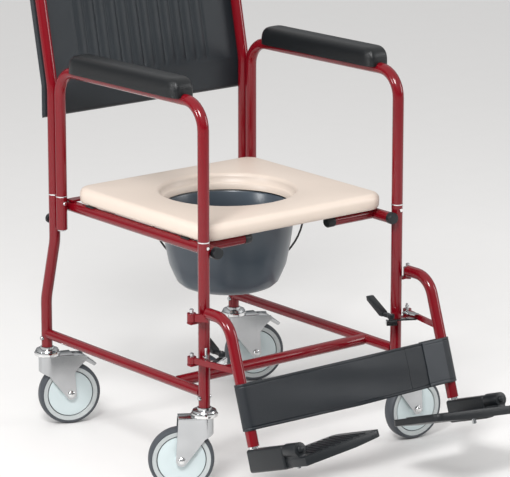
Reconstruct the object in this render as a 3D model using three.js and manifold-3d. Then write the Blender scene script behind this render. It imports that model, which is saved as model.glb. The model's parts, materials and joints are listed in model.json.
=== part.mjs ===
// A wheeled commode chair: a painted steel tube frame on four swivel castors, a blow-moulded
// seat board with a round hole, a pail on runners under it, lift-out armrests and backrest,
// and two swing-away footrests joined by a calf strap.
//
// Millimetres, +Z up. The sitter faces -Y, and +X is the side on the right of someone who
// looks at the chair from its front. While the parts are built, the front posts stand at Y = 0;
// the last lines move the whole chair so that its origin is the middle of its outline on the floor.

import * as THREE from 'three';
import { mergeVertices } from 'three/addons/utils/BufferGeometryUtils.js';
import Module from 'manifold-3d';

const wasm = await Module();
wasm.setup();

// ---------------------------------------------------------------- driving dimensions

// Round tube
const TUBE_R = 11;                // posts, arms, back and footrest tubes
const LOWER_RAIL_R = 10;
const BORE_R = 9.5;               // inside of a tube that takes a spigot
const SPIGOT_R = 9.1;
const GAP = 0.3;                  // between pieces that touch

// Side view of the frame
const POST_X = 236;               // centre line of posts and legs, either side
const SEAT_RAIL_X = 213.7;
const ARM_REAR_Y = 456;
const LEG_TOP_Y = 481;
const LEG_FOOT_Y = 514;
const LEG_FOOT_Z = 163;           // where the tubes end above the castors
const LEG_KINK_Z = [388, 262];    // upper and lower corner of the rear leg
const LOWER_RAIL_Z = 189.5;
const CROSS_TUBE_Y = 90.5;
const SEAT_RAIL_Z = 458.5;
const SOCKET_TOP_Z = 481;         // joint line of arms and back posts
const SOCKET_FOOT_Z = 415;
const SPIGOT_FOOT_Z = 412;
const BORE_FOOT_Z = 405;
const STUB_Y = 43;                // short tubes under the front of the seat
const STUB_END_X = 104;
const STUB_R = 10;

// Arms
const ARM_FRONT_Z = 742;
const ARM_REAR_Z = 733;
const ARM_BEND_R = 50;
const PAD_LENGTH = 346;
const PAD_MIDDLE_Y = 227;
const PAD_HALF_WIDTH = 25;
const PAD_FOOT = 4;               // above the arm tube's centre line
const PAD_TOP = 41;
const BUTTON_Z = 471;
const BUTTON_R = 3.2;

// Back
const BACK_KNEE_Z = 695;          // the posts are upright below it
const BACK_LEAN = THREE.MathUtils.degToRad(12);
const HANDLE_Z = 925;
const HANDLE_END_Y = 656;
const KNOB_Z = 429;
const BACK_PANEL_X = 249;
const BACK_PANEL_Z = [632, 884];
const BACK_PANEL_DEPTH = 12;

// Seat and pail
const SEAT_X = 221;
const SEAT_Y = [16, 436];
const SEAT_Z = [471.3, 503];
const SEAT_CORNER_R = 34;
const SEAT_EDGE_R = 10;
const HOLE_Y = 231;
const HOLE_R = 127;
const PAIL_RIM_Z = 468.5;
const PAIL_WING_X = 141;
const BAIL_HALF_WIDTH = 148;
const BAIL_REACH = 190;
const BAIL_Z = 455;
const BAIL_TURN = THREE.MathUtils.degToRad(51.6); // the pail is turned this much about +Z
const BAIL_DROP = THREE.MathUtils.degToRad(55);   // the bail hangs this far below level

// Castors
const WHEEL_R = 62.5;
const TYRE_SIDES = 28;
const TRAIL = 44;                 // from the swivel axis back to the axle
const FORK_TOP_Z = 153;
const CASTORS = [
  { name: 'front_left', x: -POST_X, y: 0, heading: 147, brake: false },
  { name: 'front_right', x: POST_X, y: 0, heading: -4, brake: false },
  { name: 'rear_left', x: -POST_X, y: LEG_FOOT_Y, heading: -20, brake: true },
  { name: 'rear_right', x: POST_X, y: LEG_FOOT_Y, heading: -20, brake: true },
];

// Footrests
const HINGE_X = 265;              // upright pins beside the front posts
const HANGER_X = 245;
const HANGER_TOP_Z = 351;
const HANGER_START_Y = -25;
const HANGER_BEND_R = 46;
const RAKE = THREE.MathUtils.degToRad(18.5);      // the tube slopes forward by this much
const ANKLE_Y = -164.6;           // where the footplate's axis meets the tube
const ANKLE_Z = 113;
const HANGER_END = 15;            // tube end above the ankle, along the tube
const EXTENSION_LENGTH = 110;
const LUGS = [
  { pinTop: 357, eye: [334, 350], plate: 333.4 },
  { pinTop: 272, eye: [253, 266], plate: 252.4 },
];
const PLATE_UP = THREE.MathUtils.degToRad(5.3);   // the plate's inner end stands up by this much
const STRAP_Z = [45, 132];        // above the ankle, along the tube
const STRAP_SPLIT_X = 140;
const STRAP_THICK = 2.6;

// Middle of the chair's outline on the floor
const CENTRE_X = 6.8;
const CENTRE_Y = 170.4;

const SIDES = [{ name: 'left', sign: -1 }, { name: 'right', sign: 1 }];

// ---------------------------------------------------------------- materials

function finish(color, roughness, metalness) {
  return new THREE.MeshStandardMaterial({ color, roughness, metalness });
}

const redPaint = finish(0x96202c, 0.3, 0.1);
const zinc = finish(0xa9adac, 0.35, 0.9);
const chrome = finish(0xd0d0d0, 0.12, 1);
const wheelPlastic = finish(0xcdddda, 0.45, 0);
const tyreRubber = finish(0x3d4248, 0.7, 0);
const blackPlastic = finish(0x1c1f20, 0.5, 0);
const padFoam = finish(0x17191a, 0.55, 0);
const blackVinyl = finish(0x2c3236, 0.6, 0);
const seatPlastic = finish(0xd8ccbe, 0.5, 0);
const pailPlastic = finish(0x56646f, 0.45, 0);
const wire = finish(0x3b3d3d, 0.4, 0.8);

// ---------------------------------------------------------------- geometry helpers

const v3 = (x, y, z) => new THREE.Vector3(x, y, z);

// A path given by its own stations, so that a tube has a ring of vertices only where it needs one.
class StationPath extends THREE.Curve {
  constructor(stations) {
    super();
    this.stations = stations;
  }

  getPoint(t) {
    const last = this.stations.length - 1;
    const index = Math.min(Math.floor(t * last), last - 1);
    return this.stations[index].clone().lerp(this.stations[index + 1], t * last - index);
  }

  getSpacedPoints() {
    return this.stations;
  }

  getTangentAt(u, target = new THREE.Vector3()) {
    const last = this.stations.length - 1;
    const index = Math.round(u * last);
    const before = this.stations[Math.max(index - 1, 0)];
    const here = this.stations[index];
    const after = this.stations[Math.min(index + 1, last)];
    const incoming = here.clone().sub(before).normalize();
    const outgoing = after.clone().sub(here).normalize();
    return target.copy(incoming.add(outgoing).normalize());
  }
}

// Replaces each inner corner of a polyline by an arc that is tangent to both its sides.
function roundCorners(corners, radius, steps = 4) {
  const stations = [corners[0]];
  for (let i = 1; i < corners.length - 1; i += 1) {
    const back = corners[i - 1].clone().sub(corners[i]).normalize();
    const on = corners[i + 1].clone().sub(corners[i]).normalize();
    const turn = Math.PI - back.angleTo(on);
    const reach = radius * Math.tan(turn / 2);
    const start = corners[i].clone().addScaledVector(back, reach);
    const toCentre = back.clone().add(on).normalize();
    const centre = corners[i].clone().addScaledVector(toCentre, radius / Math.cos(turn / 2));
    const spoke = start.sub(centre);
    const axis = back.clone().cross(on).normalize().negate();
    for (let k = 0; k <= steps; k += 1) {
      stations.push(centre.clone().add(spoke.clone().applyAxisAngle(axis, turn * k / steps)));
    }
  }
  stations.push(corners[corners.length - 1]);
  return stations;
}

function polygon(radius, sides) {
  const points = [];
  for (let i = 0; i < sides; i += 1) {
    const angle = 2 * Math.PI * (i + 0.5) / sides;
    points.push(new THREE.Vector2(radius * Math.cos(angle), radius * Math.sin(angle)));
  }
  return new THREE.Shape(points);
}

function sweep(stations, radius, sides = 12) {
  return new THREE.ExtrudeGeometry(polygon(radius, sides), {
    steps: stations.length - 1,
    extrudePath: new StationPath(stations),
  });
}

function rod(from, to, radius, sides = 12) {
  const along = to.clone().sub(from);
  const geometry = new THREE.CylinderGeometry(radius, radius, along.length(), sides);
  const turn = new THREE.Quaternion().setFromUnitVectors(v3(0, 1, 0), along.clone().normalize());
  geometry.applyQuaternion(turn);
  const middle = from.clone().add(to).multiplyScalar(0.5);
  return geometry.translate(middle.x, middle.y, middle.z);
}

function upright(x, y, bottom, top, radius, sides = 12) {
  return rod(v3(x, y, bottom), v3(x, y, top), radius, sides);
}

function block(xs, ys, zs) {
  const [x0, x1] = xs[0] < xs[1] ? xs : [xs[1], xs[0]];
  const geometry = new THREE.BoxGeometry(x1 - x0, ys[1] - ys[0], zs[1] - zs[0]);
  return geometry.translate((x0 + x1) / 2, (ys[0] + ys[1]) / 2, (zs[0] + zs[1]) / 2);
}

// A slab with a round-ended plan, standing between two heights.
function link(from, to, halfWidth, zs) {
  const angle = Math.atan2(to.y - from.y, to.x - from.x);
  const shape = new THREE.Shape();
  shape.absarc(from.x, from.y, halfWidth, angle + Math.PI / 2, angle + 1.5 * Math.PI, false);
  shape.absarc(to.x, to.y, halfWidth, angle - Math.PI / 2, angle + Math.PI / 2, false);
  const geometry = new THREE.ExtrudeGeometry(shape, {
    depth: zs[1] - zs[0], bevelEnabled: false, curveSegments: 4,
  });
  return geometry.translate(0, 0, zs[0]);
}

// An outline in (along, up) extruded sideways, centred on its own plane.
function profileSlab(outline, width) {
  const shape = new THREE.Shape(outline.map(([along, up]) => new THREE.Vector2(along, up)));
  const geometry = new THREE.ExtrudeGeometry(shape, { depth: width, bevelEnabled: false });
  geometry.translate(0, 0, -width / 2);
  return geometry.rotateX(Math.PI / 2);
}

// A body turned about +Z from an outline of (radius, height) points.
function turned(outline, sides = 24) {
  const points = outline.map(([radius, height]) => new THREE.Vector2(radius, height));
  return new THREE.LatheGeometry(points, sides).rotateX(Math.PI / 2);
}

// ---------------------------------------------------------------- joining and cutting

function toSolid(geometry) {
  const bare = geometry.clone();
  bare.deleteAttribute('normal');
  bare.deleteAttribute('uv');
  const merged = mergeVertices(bare, 1e-4);
  return new wasm.Manifold(new wasm.Mesh({
    numProp: 3,
    vertProperties: new Float32Array(merged.attributes.position.array),
    triVerts: new Uint32Array(merged.index.array),
  }));
}

function fromSolid(solid) {
  const mesh = solid.getMesh();
  const geometry = new THREE.BufferGeometry();
  geometry.setAttribute('position', new THREE.BufferAttribute(mesh.vertProperties, 3));
  geometry.setIndex(new THREE.BufferAttribute(mesh.triVerts, 1));
  geometry.computeVertexNormals();
  return geometry;
}

function join(first, ...others) {
  return fromSolid(others.reduce((sum, other) => sum.add(toSolid(other)), toSolid(first)));
}

function cut(body, ...tools) {
  return fromSolid(tools.reduce((rest, tool) => rest.subtract(toSolid(tool)), toSolid(body)));
}

const chair = new THREE.Group();

function add(name, geometry, material, parent = chair) {
  const mesh = new THREE.Mesh(geometry, material);
  mesh.name = name;
  parent.add(mesh);
  return mesh;
}

// ---------------------------------------------------------------- frame

function frontPost({ name, sign }) {
  const x = sign * POST_X;
  const hingeX = sign * HINGE_X;
  const parts = [upright(x, 0, LEG_FOOT_Z, SOCKET_TOP_Z, TUBE_R, 16)];
  for (const lug of LUGS) {
    parts.push(link(v3(x + sign * 8, 0, 0), v3(hingeX, 0, 0), 7, [lug.plate - 5, lug.plate]));
    parts.push(upright(hingeX, 0, lug.plate - 2, lug.pinTop, 4, 10));
  }
  const body = join(...parts);
  const armBore = upright(x, 0, BORE_FOOT_Z, SOCKET_TOP_Z + 1, BORE_R, 20);
  const stemBore = upright(x, 0, LEG_FOOT_Z - 1, LEG_FOOT_Z + 48, 6.2);
  const buttonHole = rod(v3(x, -TUBE_R - 2, BUTTON_Z), v3(x, -TUBE_R + 4, BUTTON_Z), 3.8);
  add(`front_post_${name}`, cut(body, armBore, stemBore, buttonHole), redPaint);
}

function rearLeg({ name, sign }) {
  const x = sign * POST_X;
  const line = roundCorners([
    v3(x, LEG_TOP_Y, SOCKET_TOP_Z),
    v3(x, LEG_TOP_Y, LEG_KINK_Z[0]),
    v3(x, LEG_FOOT_Y, LEG_KINK_Z[1]),
    v3(x, LEG_FOOT_Y, LEG_FOOT_Z),
  ], 90, 2);
  const postBore = upright(x, LEG_TOP_Y, BORE_FOOT_Z, SOCKET_TOP_Z + 1, BORE_R, 20);
  const stemBore = upright(x, LEG_FOOT_Y, LEG_FOOT_Z - 1, LEG_FOOT_Z + 48, 6.2);
  const knobHole = rod(v3(x, LEG_TOP_Y + 7, KNOB_Z), v3(x, LEG_TOP_Y + 13, KNOB_Z), 4.6);
  add(`rear_leg_${name}`, cut(sweep(line, TUBE_R, 16), postBore, stemBore, knobHole), redPaint);
}

function armSocket({ name, sign }) {
  const x = sign * POST_X;
  const web = block([x - 3, x + 3], [ARM_REAR_Y + 10, LEG_TOP_Y - TUBE_R - GAP], [420, 476]);
  const tube = join(upright(x, ARM_REAR_Y, SOCKET_FOOT_Z, SOCKET_TOP_Z, TUBE_R, 16), web);
  const bore = upright(x, ARM_REAR_Y, SOCKET_FOOT_Z - 1, SOCKET_TOP_Z + 1, BORE_R, 20);
  add(`arm_socket_${name}`, cut(tube, bore), redPaint);
}

function seatRail({ name, sign }) {
  const x = sign * SEAT_RAIL_X;
  const rail = rod(v3(x, -9, SEAT_RAIL_Z), v3(x, 466, SEAT_RAIL_Z), TUBE_R);
  const stub = rod(v3(x, STUB_Y, SEAT_RAIL_Z), v3(sign * STUB_END_X, STUB_Y, SEAT_RAIL_Z), STUB_R);
  add(`seat_rail_${name}`, join(rail, stub), redPaint);
}

function lowerRail({ name, sign }) {
  const x = sign * POST_X;
  const front = v3(x, TUBE_R + GAP, LOWER_RAIL_Z);
  const rear = v3(x, LEG_FOOT_Y - TUBE_R - GAP, LOWER_RAIL_Z);
  add(`lower_rail_${name}`, rod(front, rear, LOWER_RAIL_R), redPaint);
}

function crossMembers() {
  const reach = POST_X - LOWER_RAIL_R - GAP;
  const tube = rod(v3(-reach, CROSS_TUBE_Y, LOWER_RAIL_Z), v3(reach, CROSS_TUBE_Y, LOWER_RAIL_Z), TUBE_R);
  add('front_cross_tube', tube, redPaint);
  const railTop = SEAT_RAIL_Z + TUBE_R + GAP;
  const bar = block([-222, 222], [439, 458], [railTop, railTop + 4]);
  add('rear_cross_bar', bar, redPaint);
}

// Each runner is an angle that carries one wing of the pail's rim, with two tabs to the seat rail.
function pailRunner({ name, sign }) {
  const wall = [PAIL_WING_X + 1, PAIL_WING_X + 7];
  const lip = block([sign * 133.5, sign * wall[1]], [110, 425], [458, PAIL_RIM_Z - 4.4]);
  const side = block([sign * wall[0], sign * wall[1]], [110, 425], [458, SEAT_Z[0] - 0.7]);
  const tabEnd = sign * (SEAT_RAIL_X - TUBE_R - GAP);
  const tabs = [160, 350].map((y) => block([sign * (wall[1] - 2), tabEnd], [y, y + 22], [458, 462]));
  add(`pail_runner_${name}`, join(lip, side, ...tabs), zinc);
}

// ---------------------------------------------------------------- castors

// In a castor's own frame the swivel axis is +Z through the origin and the wheel trails along +X.
function castorStem(castor, group) {
  const stem = turned([
    [0, FORK_TOP_Z + 0.5], [24, FORK_TOP_Z + 0.5], [23, 157.5], [14, 159],
    [14, LEG_FOOT_Z - GAP], [5.6, LEG_FOOT_Z - GAP], [5.6, LEG_FOOT_Z + 44], [0, LEG_FOOT_Z + 44],
  ], 16);
  add(`castor_stem_${castor.name}`, stem, zinc, group);
}

function castorFork(castor, group) {
  const headZ = [FORK_TOP_Z - 5, FORK_TOP_Z];
  const cheek = [
    [-15, headZ[0]], [-13, 108], [TRAIL - 10, 56], [TRAIL - 2, 51.5], [TRAIL + 7, 53.5],
    [TRAIL + 11, 60], [TRAIL + 11, 117], [74, 133], [74, headZ[0]],
  ];
  const cheeks = [-1, 1].map((side) => profileSlab(cheek, 2.6).translate(0, side * 16.8, 0));
  const head = upright(0, 0, headZ[0] - 2, headZ[1], 20, 16);
  const roof = block([-15, 58], [-17, 17], [headZ[0] - 4, headZ[0]]);
  const axle = rod(v3(TRAIL, -22, WHEEL_R), v3(TRAIL, 22, WHEEL_R), 4, 10);
  const nuts = [-1, 1].map((side) => rod(
    v3(TRAIL, side * 18, WHEEL_R), v3(TRAIL, side * 22.5, WHEEL_R), 6.5, 6,
  ));
  add(`castor_fork_${castor.name}`, join(roof, head, ...cheeks, axle, ...nuts), zinc, group);
}

function castorWheel(castor, group) {
  const rimR = 51;
  const wheel = turned([
    [4.8, -14], [11, -14], [12, -10], [44, -8], [45, -10], [rimR, -10],
    [rimR, 10], [45, 10], [44, 8], [12, 10], [11, 14], [4.8, 14], [4.8, -14],
  ], TYRE_SIDES);
  const ringScale = 1 / Math.cos(Math.PI / TYRE_SIDES);
  const inner = rimR + GAP;
  const outer = WHEEL_R * ringScale;
  const tyre = turned([
    [inner, -11], [55, -12.5], [outer - 3, -11], [outer, -7],
    [outer, 7], [outer - 3, 11], [55, 12.5], [inner, 11], [inner, -11],
  ], TYRE_SIDES);
  for (const [name, geometry, material] of [['wheel', wheel, wheelPlastic], ['tyre', tyre, tyreRubber]]) {
    const mesh = add(`castor_${name}_${castor.name}`, geometry, material, group);
    mesh.rotation.set(Math.PI / 2, Math.PI / TYRE_SIDES, 0, 'YXZ');
    mesh.position.set(TRAIL, 0, WHEEL_R);
  }
}

function castorBrake(castor, group) {
  const pedal = profileSlab([
    [46, 139], [60, 142.5], [74, 140], [99, 121], [94, 116], [71, 131], [50, 133],
  ], 26);
  add(`castor_brake_${castor.name}`, pedal, zinc, group);
}

function castors() {
  for (const castor of CASTORS) {
    const fixed = new THREE.Group();
    fixed.position.set(castor.x, castor.y, 0);
    const swivel = new THREE.Group();
    swivel.rotation.z = THREE.MathUtils.degToRad(castor.heading);
    fixed.add(swivel);
    chair.add(fixed);
    castorStem(castor, fixed);
    castorFork(castor, swivel);
    castorWheel(castor, swivel);
    if (castor.brake) {
      castorBrake(castor, swivel);
    }
  }
}

// ---------------------------------------------------------------- arms

const armSlope = Math.atan2(ARM_FRONT_Z - ARM_REAR_Z, ARM_REAR_Y);
const armHeight = (y) => ARM_FRONT_Z - y * Math.tan(armSlope);

function armTube({ name, sign }) {
  const x = sign * POST_X;
  const foot = SOCKET_TOP_Z + GAP;
  const line = roundCorners([
    v3(x, 0, foot),
    v3(x, 0, ARM_FRONT_Z),
    v3(x, ARM_REAR_Y, ARM_REAR_Z),
    v3(x, ARM_REAR_Y, foot),
  ], ARM_BEND_R, 5);
  const spigots = [0, ARM_REAR_Y].map((y) => upright(x, y, SPIGOT_FOOT_Z, foot + 8, SPIGOT_R, 20));
  const keyway = block([x - 4.2, x + 4.2], [-SPIGOT_R - 1, -4.2], [SPIGOT_FOOT_Z - 1, BUTTON_Z + 5]);
  add(`arm_tube_${name}`, cut(join(sweep(line, TUBE_R, 16), ...spigots), keyway), redPaint);
}

// The pad is a crowned section with a round channel in its underside for the arm tube.
function armPad({ name, sign }) {
  const w = PAD_HALF_WIDTH;
  const channel = TUBE_R + GAP + 0.2;
  const edge = Math.asin(PAD_FOOT / channel);
  const shape = new THREE.Shape();
  shape.moveTo(w - 3, PAD_FOOT);
  shape.lineTo(w, PAD_FOOT + 4);
  shape.lineTo(w, PAD_TOP - 12);
  shape.lineTo(w - 8, PAD_TOP - 3);
  shape.lineTo(w - 16, PAD_TOP);
  shape.lineTo(16 - w, PAD_TOP);
  shape.lineTo(8 - w, PAD_TOP - 3);
  shape.lineTo(-w, PAD_TOP - 12);
  shape.lineTo(-w, PAD_FOOT + 4);
  shape.lineTo(3 - w, PAD_FOOT);
  shape.absarc(0, 0, channel, Math.PI - edge, edge, true);
  const pad = new THREE.ExtrudeGeometry(shape, {
    depth: PAD_LENGTH, bevelEnabled: false, curveSegments: 5,
  });
  pad.translate(0, 0, -PAD_LENGTH / 2).rotateX(Math.PI / 2);
  const mesh = add(`arm_pad_${name}`, pad, padFoam);
  mesh.position.set(sign * POST_X, PAD_MIDDLE_Y, armHeight(PAD_MIDDLE_Y));
  mesh.rotation.x = -armSlope;
}

function armButton({ name, sign }) {
  const x = sign * POST_X;
  const button = rod(v3(x, -TUBE_R - 2.4, BUTTON_Z), v3(x, -SPIGOT_R + 0.1, BUTTON_Z), BUTTON_R);
  add(`arm_button_${name}`, button, chrome);
}

// ---------------------------------------------------------------- back

const backY = (z) => LEG_TOP_Y + Math.max(z - BACK_KNEE_Z, 0) * Math.tan(BACK_LEAN);

function backPost({ name, sign }) {
  const x = sign * POST_X;
  const foot = SOCKET_TOP_Z + GAP;
  const lower = roundCorners([
    v3(x, LEG_TOP_Y, foot),
    v3(x, LEG_TOP_Y, BACK_KNEE_Z),
    v3(x, backY(HANDLE_Z), HANDLE_Z),
  ], 120, 2).slice(0, -1);
  const upper = roundCorners([
    v3(x, backY(800), 800),
    v3(x, backY(HANDLE_Z), HANDLE_Z),
    v3(x, HANDLE_END_Y, HANDLE_Z),
  ], 45, 5).slice(1);
  const spigot = upright(x, LEG_TOP_Y, SPIGOT_FOOT_Z, foot + 8, SPIGOT_R, 20);
  const post = join(sweep([...lower, ...upper], TUBE_R, 16), spigot);
  add(`back_post_${name}`, post, redPaint);
}

function pushGrip({ name, sign }) {
  const bore = TUBE_R + 0.5;
  const grip = turned([
    [0, 1], [bore, 1], [bore, -84], [15, -84], [16.5, -80], [15.5, -70], [15.5, -4], [14, 4], [8, 9], [0, 9],
  ], 20).rotateX(-Math.PI / 2);
  grip.translate(sign * POST_X, HANDLE_END_Y, HANDLE_Z);
  add(`push_grip_${name}`, grip, blackPlastic);
}

function backKnob({ name, sign }) {
  const outline = [[0, -1.4], [3.6, -1.4], [3.6, 1.2], [9.5, 1.2], [9.5, 7], [7.5, 9], [0, 9]];
  const knob = turned(outline, 12).rotateX(-Math.PI / 2);
  knob.translate(sign * POST_X, LEG_TOP_Y + TUBE_R, KNOB_Z);
  add(`back_knob_${name}`, knob, blackPlastic);
}

// The panel lies against the back of both posts and leans with them.
function backPanel() {
  const levels = [BACK_PANEL_Z[0], BACK_KNEE_Z, BACK_PANEL_Z[1]];
  const inner = TUBE_R / Math.cos(BACK_LEAN) + 0.6;
  const front = levels.map((z) => [backY(z) + inner, z]);
  const rear = levels.map((z) => [backY(z) + inner + BACK_PANEL_DEPTH, z]).reverse();
  const panel = profileSlab([...front, ...rear], 2 * BACK_PANEL_X).rotateZ(Math.PI / 2);
  add('back_panel', panel, blackVinyl);
}

// ---------------------------------------------------------------- seat and pail

function seatBoard() {
  const x = SEAT_X - SEAT_EDGE_R;
  const y0 = SEAT_Y[0] + SEAT_EDGE_R;
  const y1 = SEAT_Y[1] - SEAT_EDGE_R;
  const r = SEAT_CORNER_R - SEAT_EDGE_R;
  const shape = new THREE.Shape();
  shape.absarc(x - r, y0 + r, r, -Math.PI / 2, 0, false);
  shape.absarc(x - r, y1 - r, r, 0, Math.PI / 2, false);
  shape.absarc(r - x, y1 - r, r, Math.PI / 2, Math.PI, false);
  shape.absarc(r - x, y0 + r, r, Math.PI, 1.5 * Math.PI, false);
  const hole = new THREE.Path();
  hole.absarc(0, HOLE_Y, HOLE_R + SEAT_EDGE_R, 0, 2 * Math.PI, false);
  shape.holes.push(hole);
  const board = new THREE.ExtrudeGeometry(shape, {
    depth: SEAT_Z[1] - SEAT_Z[0] - 2 * SEAT_EDGE_R,
    bevelThickness: SEAT_EDGE_R,
    bevelSize: SEAT_EDGE_R,
    bevelSegments: 2,
    curveSegments: 8,
  });
  add('seat_board', board.translate(0, 0, SEAT_Z[0] + SEAT_EDGE_R), seatPlastic);
}

function pail() {
  const outside = [
    [0, 309], [70, 309], [90, 313], [101, 323], [107, 338], [115, 357],
    [122.4, 395], [127, 427], [130, PAIL_RIM_Z - 4], [137, PAIL_RIM_Z - 4],
  ];
  const inside = [
    [137, PAIL_RIM_Z], [127, PAIL_RIM_Z], [124, 427], [119.4, 395],
    [112, 357], [103, 338], [96, 324], [88, 316.5], [70, 312], [0, 312],
  ];
  const bucket = turned([...outside, ...inside], 28).translate(0, HOLE_Y, 0);
  const rimZ = [PAIL_RIM_Z - 4, PAIL_RIM_Z];
  const wings = cut(
    block([-PAIL_WING_X, PAIL_WING_X], [HOLE_Y - 75, HOLE_Y + 75], rimZ),
    upright(0, HOLE_Y, rimZ[0] - 1, rimZ[1] + 1, 129, 32),
  );
  const ears = [0, Math.PI].map((turn) => {
    const ear = block([-6, 6], [127, 141], [BAIL_Z - 6, BAIL_Z + 6]);
    return ear.rotateZ(BAIL_TURN + turn).translate(0, HOLE_Y, 0);
  });
  const across = v3(0, 200, 0).applyAxisAngle(v3(0, 0, 1), BAIL_TURN);
  const pivot = v3(0, HOLE_Y, BAIL_Z);
  const holes = [1, -1].map((way) => rod(
    pivot.clone().addScaledVector(across, way * 0.661), pivot.clone().addScaledVector(across, way), 2.8,
  ));
  add('pail', cut(join(bucket, wings, ...ears), ...holes), pailPlastic);
}

// The wire bail is half an ellipse hinged in the pail's two ears, with its ends turned inwards.
function bail() {
  const spokes = [[134, 0], [143, 0]];
  for (let degrees = 3; degrees <= 177; degrees += 14.5) {
    const angle = THREE.MathUtils.degToRad(degrees);
    spokes.push([BAIL_HALF_WIDTH * Math.cos(angle), BAIL_REACH * Math.sin(angle)]);
  }
  spokes.push([-143, 0], [-134, 0]);
  const stations = spokes.map(([along, out]) => v3(
    out * Math.cos(BAIL_DROP), along, -out * Math.sin(BAIL_DROP),
  ).applyAxisAngle(v3(0, 0, 1), BAIL_TURN).add(v3(0, HOLE_Y, BAIL_Z)));
  add('pail_bail', sweep(stations, 2, 6), wire);
}

// ---------------------------------------------------------------- footrests

// In a footrest's ankle frame, +Y runs along the footplate's axis to the front, +Z up the tube
// and +X to the chair's left side.
function ankleFrame(sign) {
  const forward = v3(0, -Math.cos(RAKE), Math.sin(RAKE));
  const up = v3(0, Math.sin(RAKE), Math.cos(RAKE));
  const across = forward.clone().cross(up);
  const frame = new THREE.Matrix4().makeBasis(across, forward, up);
  return frame.setPosition(sign * HANGER_X, ANKLE_Y, ANKLE_Z);
}

const ankleLine = (z) => ANKLE_Y + (z - ANKLE_Z) * Math.tan(RAKE);

function hanger({ name, sign }) {
  const x = sign * HANGER_X;
  const hingeX = sign * HINGE_X;
  const endZ = ANKLE_Z + HANGER_END * Math.cos(RAKE);
  const line = roundCorners([
    v3(x, HANGER_START_Y, HANGER_TOP_Z),
    v3(x, ankleLine(HANGER_TOP_Z), HANGER_TOP_Z),
    v3(x, ankleLine(endZ), endZ),
  ], HANGER_BEND_R, 5);
  const barZ = 260;
  const upperEye = LUGS[0].eye;
  const lowerEye = LUGS[1].eye;
  const body = join(
    sweep(line, TUBE_R, 16),
    link(v3(x, HANGER_START_Y - 6, 0), v3(hingeX, 0, 0), 7, upperEye),
    upright(hingeX, 0, ...upperEye, 8.5),
    link(v3(x, ankleLine(barZ) + 4, 0), v3(hingeX, 0, 0), 3, lowerEye),
    upright(hingeX, 0, ...lowerEye, 8.5),
    link(v3(sign * 250, -42, 0), v3(sign * 208, -18, 0), 5, [256, 260]),
  );
  const tools = LUGS.map((lug) => upright(hingeX, 0, lug.eye[0] - 1, lug.eye[1] + 8, 4.6, 10));
  const bore = rod(v3(0, 0, -5), v3(0, 0, EXTENSION_LENGTH + 8), BORE_R, 20);
  tools.push(bore.applyMatrix4(ankleFrame(sign)));
  add(`hanger_${name}`, cut(body, ...tools), redPaint);
}

// The latch lever turns on the hanger's catch plate, inboard of the post.
function latchLever({ name, sign }) {
  const hub = upright(sign * 208, -18, 260 + GAP, 268, 7, 12);
  const shank = link(v3(sign * 208, -18, 0), v3(sign * 207, 2, 0), 5, [261, 268]);
  const handle = profileSlab([[0, 261], [8, 261], [46, 284], [48, 292], [42, 293], [0, 269]], 14);
  handle.rotateZ(Math.PI / 2).translate(sign * 207, 0, 0);
  add(`latch_lever_${name}`, join(hub, shank, handle), blackPlastic);
}

function extension({ name, sign }) {
  const tube = rod(v3(0, 0, 0), v3(0, 0, EXTENSION_LENGTH), SPIGOT_R, 20);
  const housing = block([-12.5, 12.5], [-11, 98], [-46, HANGER_END - 4]);
  const axleBore = rod(v3(0, 30, 0), v3(0, 99, 0), 5.6);
  const geometry = cut(join(tube, housing), axleBore).applyMatrix4(ankleFrame(sign));
  add(`footrest_slide_${name}`, geometry, blackPlastic);
}

// The plate turns about the ankle axis on a stub axle in the slide's housing.
function footplate({ name, sign }) {
  const corner = 16;
  const root = 14.5;
  const tip = 176;
  const rear = 18;
  const front = 158;
  const shape = new THREE.Shape();
  shape.moveTo(root, rear);
  shape.lineTo(tip - corner, rear);
  shape.absarc(tip - corner, rear + corner, corner, -Math.PI / 2, 0, false);
  shape.absarc(tip - corner, front - corner, corner, 0, Math.PI / 2, false);
  shape.lineTo(-10, front);
  shape.lineTo(-10, 100);
  shape.lineTo(root, 100);
  const slab = new THREE.ExtrudeGeometry(shape, { depth: 16, bevelEnabled: false, curveSegments: 3 });
  slab.translate(0, 0, -30);
  const underside = block([40, 200], [0, 200], [-60, -36]).rotateY(-0.055);
  const knuckle = rod(v3(0, 100, 0), v3(0, 138, 0), 13.5, 16);
  const axle = rod(v3(0, 34, 0), v3(0, 120, 0), 5, 10);
  const neck = block([-9, 9], [100, 138], [-20, 0]);
  const plate = cut(join(slab, knuckle, axle, neck), underside);
  plate.rotateY(-PLATE_UP);
  const mirrored = sign < 0 ? mirrorX(plate) : plate;
  add(`footplate_${name}`, mirrored.applyMatrix4(ankleFrame(sign)), blackPlastic);
}

// Mirrors a body in X and turns its triangles so that they still face out.
function mirrorX(geometry) {
  geometry.scale(-1, 1, 1);
  const index = geometry.index.array;
  for (let i = 0; i < index.length; i += 3) {
    [index[i], index[i + 1]] = [index[i + 1], index[i]];
  }
  geometry.computeVertexNormals();
  return geometry;
}

// The strap is two lengths that meet edge to edge, one held by each footrest.
function calfStraps() {
  const end = HANGER_X + TUBE_R + 3;
  const spans = { left: [-end, STRAP_SPLIT_X - 0.4], right: [STRAP_SPLIT_X + 0.4, end] };
  const face = [TUBE_R + 0.5, TUBE_R + 0.5 + STRAP_THICK];
  for (const { name } of SIDES) {
    const [x0, x1] = spans[name];
    const strap = block([-x1, -x0], face, STRAP_Z);
    const frame = ankleFrame(0);
    add(`calf_strap_${name}`, strap.applyMatrix4(frame), blackVinyl);
  }
}

// ---------------------------------------------------------------- assembly

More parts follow.
